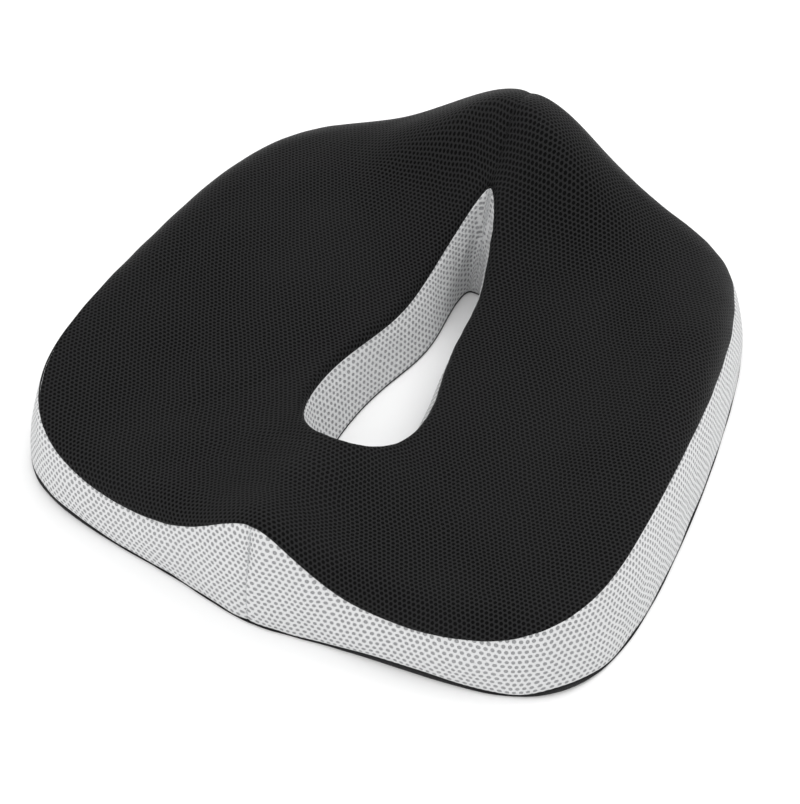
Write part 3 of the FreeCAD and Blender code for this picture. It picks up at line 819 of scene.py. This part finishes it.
def make_zip_hem():
    outline = np.array(slot_outline(0.0, 1.5))
    outline = np.concatenate([outline, outline[:1]])
    ahead = unit(np.roll(outline, -1, axis=0) - np.roll(outline, 1, axis=0))
    ahead[0] = ahead[-1] = unit(outline[1] - outline[-2])
    spots = np.concatenate([outline, np.zeros((len(outline), 1))], axis=1)
    away = np.stack([ahead[:, 1], -ahead[:, 0], np.zeros(len(ahead))], axis=-1)
    profile = [(1.8, 0.72), (0.6, 0.75), (0.1, 1.0), (0.0, 1.8), (0.0, 3.8), (0.1, HEM_TOP),
               (0.7, HEM_TOP + 0.15)]
    edge_strip("base_cloth_zip_hem", spots, away, profile)


def inside_outline(spots, outline):
    """Which spots lie inside a closed plan outline."""
    x, y = spots[:, :1], spots[:, 1:2]
    ax, ay = outline[None, :, 0], outline[None, :, 1]
    bx, by = np.roll(ax, -1, axis=1), np.roll(ay, -1, axis=1)
    crosses = (ay > y) != (by > y)
    rise = np.where(np.abs(by - ay) < 1e-9, 1e-9, by - ay)
    return (np.sum(crosses & (x < ax + (y - ay) * (bx - ax) / rise), axis=1) % 2) == 1


def make_base_plate():
    ring = np.linspace(-1, 1, 241)[:-1]
    spots, inward = edge_frames(base_edge, ring)
    edge = (spots + inward * TURN_IN)[:, :2]
    spots, inward = edge_frames(base_hole, ring)
    hole = (spots - inward * HOLE_MARGIN)[:, :2]
    slot = slot_outline(SLOT_MARGIN, 3.0)
    outlines = [edge.tolist(), hole.tolist(), slot]
    plate = flat_plate("base_cloth_plate", outlines, FLOOR_GAP, PLATE_TOP, 0.1)
    dress(plate, base_cloth, ["base_panel"])
    make_grip_dots(edge, hole, np.array(slot))


DOT_PITCH = 8.0
DOT_RADIUS = 1.3
DOT_FIELD = (220, 230)      # the pattern is laid out to here, then cut to the cloth
DOT_MARGIN = 4.0
DOT_SLOT_MARGIN = 6.0
# each step of a dot's side: (share of its radius, height)
DOT_PROFILE = [(1.0, FLOOR_GAP + 0.05), (0.93, 0.42), (0.7, 0.15), (0.35, 0.02)]


def make_grip_dots(edge, hole, slot):
    """Rubber dots in a staggered pattern under the base cloth; the cushion stands on them."""
    reach_x, reach_y = DOT_FIELD
    row_pitch = DOT_PITCH * math.sqrt(3) / 2
    spots = []
    for row in range(int(2 * reach_y / row_pitch)):
        for column in range(int(2 * reach_x / DOT_PITCH)):
            spots.append((-reach_x + (column + 0.5 * (row % 2)) * DOT_PITCH, -reach_y + row * row_pitch))
    spots = np.array(spots)
    clear = inside_outline(spots, edge)
    for outline in (edge, hole, slot):
        gap = np.linalg.norm(spots[:, None] - outline[None, ::2], axis=2).min(axis=1)
        clear &= gap > DOT_MARGIN
    for outline in (hole, slot):
        clear &= ~inside_outline(spots, outline)
    from_slot = np.abs(spots - (0.0, ZIP_Y)) - (SLOT_X, SLOT_Y)
    clear &= ~np.all(from_slot < DOT_SLOT_MARGIN, axis=1)
    verts, faces = [], []
    sides = 10
    turns = np.linspace(0, 2 * math.pi, sides + 1)[:-1]
    for x, y in spots[clear]:
        start = len(verts)
        for share, height in DOT_PROFILE:
            verts += [(x + DOT_RADIUS * share * math.cos(a), y + DOT_RADIUS * share * math.sin(a), height)
                      for a in turns]
        verts.append((x, y, 0.0))
        for ring in range(len(DOT_PROFILE) - 1):
            for j in range(sides):
                k = (j + 1) % sides
                faces.append((start + ring * sides + k, start + ring * sides + j,
                              start + (ring + 1) * sides + j, start + (ring + 1) * sides + k))
        last = start + (len(DOT_PROFILE) - 1) * sides
        for j in range(sides):
            faces.append((last + (j + 1) % sides, last + j, last + sides))
    dots = plain_mesh("grip_dots", verts, faces)
    dress(dots, grip_rubber)


# ---- Foam inside the cover ----------------------------------------------------------------

FOAM_DEPTH = 4.2
FOAM_FLOOR = 1.9
# the surfaces that the foam follows: (surface, first u, last u, number of rows)
FOAM_SKINS = [(band, 0.06, 0.92, 8), (top, 0.03, 0.97, 26), (lining, 0.08, 0.95, 8)]
POCKET = ((-148.0, ZIP_Y - 15.0, 0.0), (148.0, ZIP_Y + 15.0, 9.6))


def make_foam():
    ring = np.linspace(-1, 1, 161)[:-1]
    parts = []
    for surface, first, last, count in FOAM_SKINS:
        points, normals = sample(surface, ring, np.linspace(first, last, count))
        parts.append(points - normals * FOAM_DEPTH)
    outer, inner = parts[0][:, 0].copy(), parts[2][:, -1].copy()
    outer[:, 2] = inner[:, 2] = FOAM_FLOOR
    across = np.linspace(0, 1, 8)[:, None, None]
    floor = np.moveaxis(inner + (outer - inner) * across, 0, 1)
    whole = np.concatenate([*parts, floor], axis=1)
    rows, columns = whole.shape[:2]
    faces = []
    for i in range(rows):
        for j in range(columns):
            i2, j2 = (i + 1) % rows, (j + 1) % columns
            faces.append((i * columns + j, i2 * columns + j, i2 * columns + j2, i * columns + j2))
    piece = plain_mesh("foam_block", whole.reshape(-1, 3), faces)
    pocket = bevelled_blocks("zip_pocket", [POCKET], 1.0)
    cut = piece.modifiers.new("pocket", "BOOLEAN")
    cut.operation = "DIFFERENCE"
    cut.solver = "EXACT"
    cut.object = pocket
    shape = piece.evaluated_get(bpy.context.evaluated_depsgraph_get())
    mesh = bpy.data.meshes.new_from_object(shape)
    piece.modifiers.clear()
    piece.data = mesh
    bpy.data.objects.remove(pocket)
    dress(piece, foam, ["foam_core"])


# ---- Seams --------------------------------------------------------------------------------

def ring_seam(name, first, first_u, second, second_u, depth, radius, node):
    """A thread that lies in the crease where two panels are sewn together."""
    ring = both_sides(graded(0.0, 1.0, 181))[:-1]
    points, one = surface_frames(first, ring, first_u)
    other = surface_frames(second, ring, second_u)[1]
    piece = tube(name, points - unit(one + other) * depth, radius, closed=True)
    dress(piece, black_thread, [node])


def foot_seam(name, place, ring, inset, height, radius, node):
    """A thread round a plan outline, where a panel is sewn to the base cloth."""
    spots, inward = edge_frames(place, ring)
    spots = spots + inward * inset
    spots[:, 2] = height
    dress(tube(name, spots, radius, closed=True), black_thread, [node])


def join_seam(name, surface, t, depth, material, node, low):
    """Stitches along a join on the middle line, over a thread that fills the crease."""
    points, normals = surface_frames(surface, t, np.linspace(low, 0.97, 60))
    thread = tube(name + "_thread", points - normals * (depth + 0.5), 0.6)
    dress(thread, material)
    stitches = stitch_row(name, points - normals * depth, normals, step=3.2, length=2.6, radius=0.28,
                          slant=0.5)
    dress(stitches, material, [node])


def make_seams():
    ring_seam("rim_seam_thread", band, 1.0, top, 0.0, depth=1.6, radius=0.75, node="rim_seam")
    ring_seam("hole_seam_thread", top, 1.0, lining, 0.0, depth=1.5, radius=0.7, node="hole_seam")
    ring = np.linspace(-1, 1, 361)[:-1]
    foot_seam("base_seam_thread", base_edge, ring, 1.2, band_foot(ring), 0.55, "base_seam")
    ring = both_sides(graded(0.0, 1.0, 121))[:-1]
    foot_seam("hole_base_seam_thread", base_hole, ring, -0.8, 1.2, 0.3, "hole_base_seam")
    join_seam("rear_closing_stitches", top, 1.0, CREASE_DEPTH + 0.2, black_thread,
              "rear_closing_seam", 0.03)
    join_seam("front_join_stitches", band, 0.0, 0.7, grey_thread, "front_band_seam", 0.08)
    join_seam("rear_join_stitches", band, 1.0, 0.7, grey_thread, "rear_band_seam", 0.08)
    join_seam("lining_join_stitches", lining, 1.0, 0.6, grey_thread, "lining_seam", 0.03)


# ---- Zip ----------------------------------------------------------------------------------

ZIP_HALF = 130.0
COIL_PITCH = 1.6
COIL_LEVEL = 5.2
COIL_MIDDLE = 2.0       # how far each coil's middle is from the zip's middle line
COIL_WIDE = 0.95
COIL_TALL = 0.82
COIL_WIRE = 0.24
SLIDER_WALL = 1.0
GUIDE_HEIGHT = 1.4
TOP_STOP_WIDTH = 2.4
GUARD_LENGTH = 12.0


def node_box(node):
    """A CAD node's corners in millimetres."""
    low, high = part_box(node)
    return np.array(low) / MM, np.array(high) / MM


def make_tape(node):
    low, high = node_box(node)
    columns = np.linspace(low[0], high[0], 145)
    profile = [(0.0, 0.0), (0.04, 0.5), (0.0, 1.0), (0.5, 1.0), (1.0, 1.0), (0.96, 0.5), (1.0, 0.0),
               (0.5, 0.0), (0.0, 0.0)]
    rows = []
    for share, level in profile:
        sway = 0.07 * ripple(columns, share * 9.0, 17, 11)
        y = low[1] + (high[1] - low[1]) * share
        rows.append(point(columns, y, low[2] + (high[2] - low[2]) * level + sway))
    points = np.stack(rows, axis=1)
    if node.endswith("front"):
        points = points[::-1]
    piece = grid_mesh(node + "_cloth", points, run_weave(points, run_lengths(points)))
    dress(piece, tape_cloth, [node])


def make_coil(node, sign):
    turns = int(2 * ZIP_HALF / COIL_PITCH)
    q = np.linspace(0, turns, turns * 12 + 1)
    angle = 2 * math.pi * q
    path = point(-ZIP_HALF + q * COIL_PITCH, ZIP_Y + sign * (COIL_MIDDLE + COIL_WIDE * np.cos(angle)),
                 COIL_LEVEL + COIL_TALL * np.sin(angle))
    piece = tube(node + "_spiral", path, COIL_WIRE, sides=6)
    dress(piece, coil_nylon, [node])


def slider_plate(name, low, high, middle):
    """A slider's plate: broad shoulders at the shut end and a narrower tail."""
    outline = [(5.5, -2.2), (5.5, 2.2), (4.3, 4.4), (2.6, 5.0), (-3.8, 5.0), (-5.0, 4.6), (-5.5, 3.6),
               (-5.5, -3.6), (-5.0, -4.6), (-3.8, -5.0), (2.6, -5.0), (4.3, -4.4)]
    return flat_plate(name, [[(middle + x, ZIP_Y + y) for x, y in outline]], low, high, 0.25)


def make_slider():
    low, high = node_box("zipper_slider")
    middle = (low[0] + high[0]) / 2
    under, over = low[2] + 1.5, high[2]
    for name, bottom in (("zip_slider_under_plate", under), ("zip_slider_over_plate", over - SLIDER_WALL)):
        plate = slider_plate(name, bottom, bottom + SLIDER_WALL, middle)
        dress(plate, zip_metal, body="slider")
    blocks = [((middle + 3.1, ZIP_Y - 0.5, under + 0.2), (middle + 5.4, ZIP_Y + 0.5, over - 0.2))]
    for side_sign in (-1, 1):
        near, far = sorted((side_sign * 4.2, side_sign * 4.95))
        for bottom in (under + 0.8, over - 2.2):
            blocks.append(((middle - 4.2, ZIP_Y + near, bottom),
                           (middle + 3.4, ZIP_Y + far, bottom + GUIDE_HEIGHT)))
    guides = bevelled_blocks("zip_slider_guides", blocks, 0.18)
    dress(guides, zip_metal, ["zipper_slider"], "slider")
    arch = [(-4.0, under + 0.3), (-3.95, under - 0.3), (-3.6, low[2] + 0.55), (-2.6, low[2] + 0.33),
            (0.0, low[2] + 0.3), (2.6, low[2] + 0.33), (3.6, low[2] + 0.55), (3.95, under - 0.3),
            (4.0, under + 0.3)]
    bridge = tube("zip_slider_bridge", [(middle + x, ZIP_Y, z) for x, z in arch], (0.8, 0.28), sides=12)
    finer(bridge)
    dress(bridge, zip_metal, body="slider")


def make_pull():
    low, high = node_box("zipper_pull")
    axis_x = high[0] - 0.35
    level = (low[2] + high[2]) / 2
    outline = rounded_rectangle((low[0], ZIP_Y - 4.0), (axis_x - 0.1, ZIP_Y + 4.0), 2.2)
    eye = rounded_rectangle((axis_x - 5.35, ZIP_Y - 1.4), (axis_x - 0.35, ZIP_Y + 1.4), 0.5)
    recess = rounded_rectangle((low[0] + 3.0, ZIP_Y - 2.2), (axis_x - 8.0, ZIP_Y + 2.2), 1.6)
    tab = flat_plate("zip_pull_tab", [outline, eye, recess], level - 0.3, level + 0.3, 0.12)
    dress(tab, zip_metal, ["zipper_pull"], "pull")
    sheet = rounded_rectangle((low[0] + 2.8, ZIP_Y - 2.4), (axis_x - 7.8, ZIP_Y + 2.4), 1.8)
    web = flat_plate("zip_pull_web", [sheet], level - 0.16, level + 0.16, 0.04)
    dress(web, zip_metal, body="pull")
    axle = [(axis_x, ZIP_Y + y, level) for y in np.linspace(-4.0, 4.0, 9)]
    dress(tube("zip_pull_bar", axle, 0.33, sides=12), zip_metal, body="pull")


def make_zip():
    make_tape("zipper_tape_front")
    make_tape("zipper_tape_rear")
    make_coil("zipper_coil_front", -1)
    make_coil("zipper_coil_rear", 1)
    make_slider()
    make_pull()
    low, high = node_box("zipper_bottom_stop")
    stop = bevelled_blocks("zip_bottom_stop", [(low, high)], 0.45)
    dress(stop, zip_metal, ["zipper_bottom_stop"])
    low, high = node_box("zipper_top_stops")
    blocks = [(low, (high[0], low[1] + TOP_STOP_WIDTH, high[2])),
              ((low[0], high[1] - TOP_STOP_WIDTH, low[2]), high)]
    stops = bevelled_blocks("zip_top_stops", blocks, 0.45)
    dress(stops, zip_metal, ["zipper_top_stops"])
    low, high = node_box("zipper_end_guards")
    blocks = [(low, (low[0] + GUARD_LENGTH, high[1], high[2])),
              ((high[0] - GUARD_LENGTH, low[1], low[2]), high)]
    guards = bevelled_blocks("zip_end_guards", blocks, 0.2)
    dress(guards, tape_cloth, ["zipper_end_guards"])


make_top()
make_band("side_band_right_cloth", 1, "side_band_right")
make_band("side_band_left_cloth", -1, "side_band_left")
make_lining()
make_foam()
make_base_plate()
make_base_rim()
make_hole_lip()
make_zip_hem()
make_seams()
make_zip()

# ---- Camera, light and floor --------------------------------------------------------------

CAMERA_AZIMUTH = 27.0
CAMERA_ELEVATION = 47.8
CAMERA_DISTANCE = 909.2
CAMERA_TARGET = (21.2, -55.6, 50.0)
CAMERA_LENS = 67.2
LAMP_AIM = (0, 0, 0.05)     # in metres, as the lamps' places are
SKY_STRENGTH = 1.12


def make_camera():
    a, e = math.radians(CAMERA_AZIMUTH), math.radians(CAMERA_ELEVATION)
    back = Vector((math.sin(a) * math.cos(e), -math.cos(a) * math.cos(e), math.sin(e)))
    data = bpy.data.cameras.new("camera")
    data.lens = CAMERA_LENS
    camera = placed("camera", data)
    camera.location = (Vector(CAMERA_TARGET) + back * CAMERA_DISTANCE) * MM
    camera.rotation_mode = "QUATERNION"
    camera.rotation_quaternion = (-back).to_track_quat("-Z", "Y")
    bpy.context.scene.camera = camera


def make_lamp(name, place, size, power):
    data = bpy.data.lights.new(name, "AREA")
    data.shape = "DISK"
    data.size = size
    data.energy = power
    lamp = placed(name, data)
    lamp.location = place
    lamp.rotation_mode = "QUATERNION"
    lamp.rotation_quaternion = (Vector(LAMP_AIM) - Vector(place)).to_track_quat("-Z", "Y")


def make_floor():
    mesh = bpy.data.meshes.new("floor")
    reach = 6.0
    mesh.from_pydata([(-reach, -reach, 0), (reach, -reach, 0), (reach, reach, 0), (-reach, reach, 0)],
                     [], [(0, 1, 2, 3)])
    floor = placed("floor", mesh)
    mesh.materials.append(floor_material())


def make_light():
    world = bpy.data.worlds.new("studio")
    world.use_nodes = True
    background = world.node_tree.nodes["Background"]
    background.inputs["Color"].default_value = (1, 1, 1, 1)
    background.inputs["Strength"].default_value = SKY_STRENGTH
    bpy.context.scene.world = world
    make_lamp("key", place=(0.7, 0.9, 1.5), size=0.9, power=9)
    make_lamp("fill", place=(-0.5, -1.6, 0.9), size=1.2, power=5)
    bpy.context.scene.view_settings.view_transform = "Standard"


make_camera()
make_floor()
make_light()
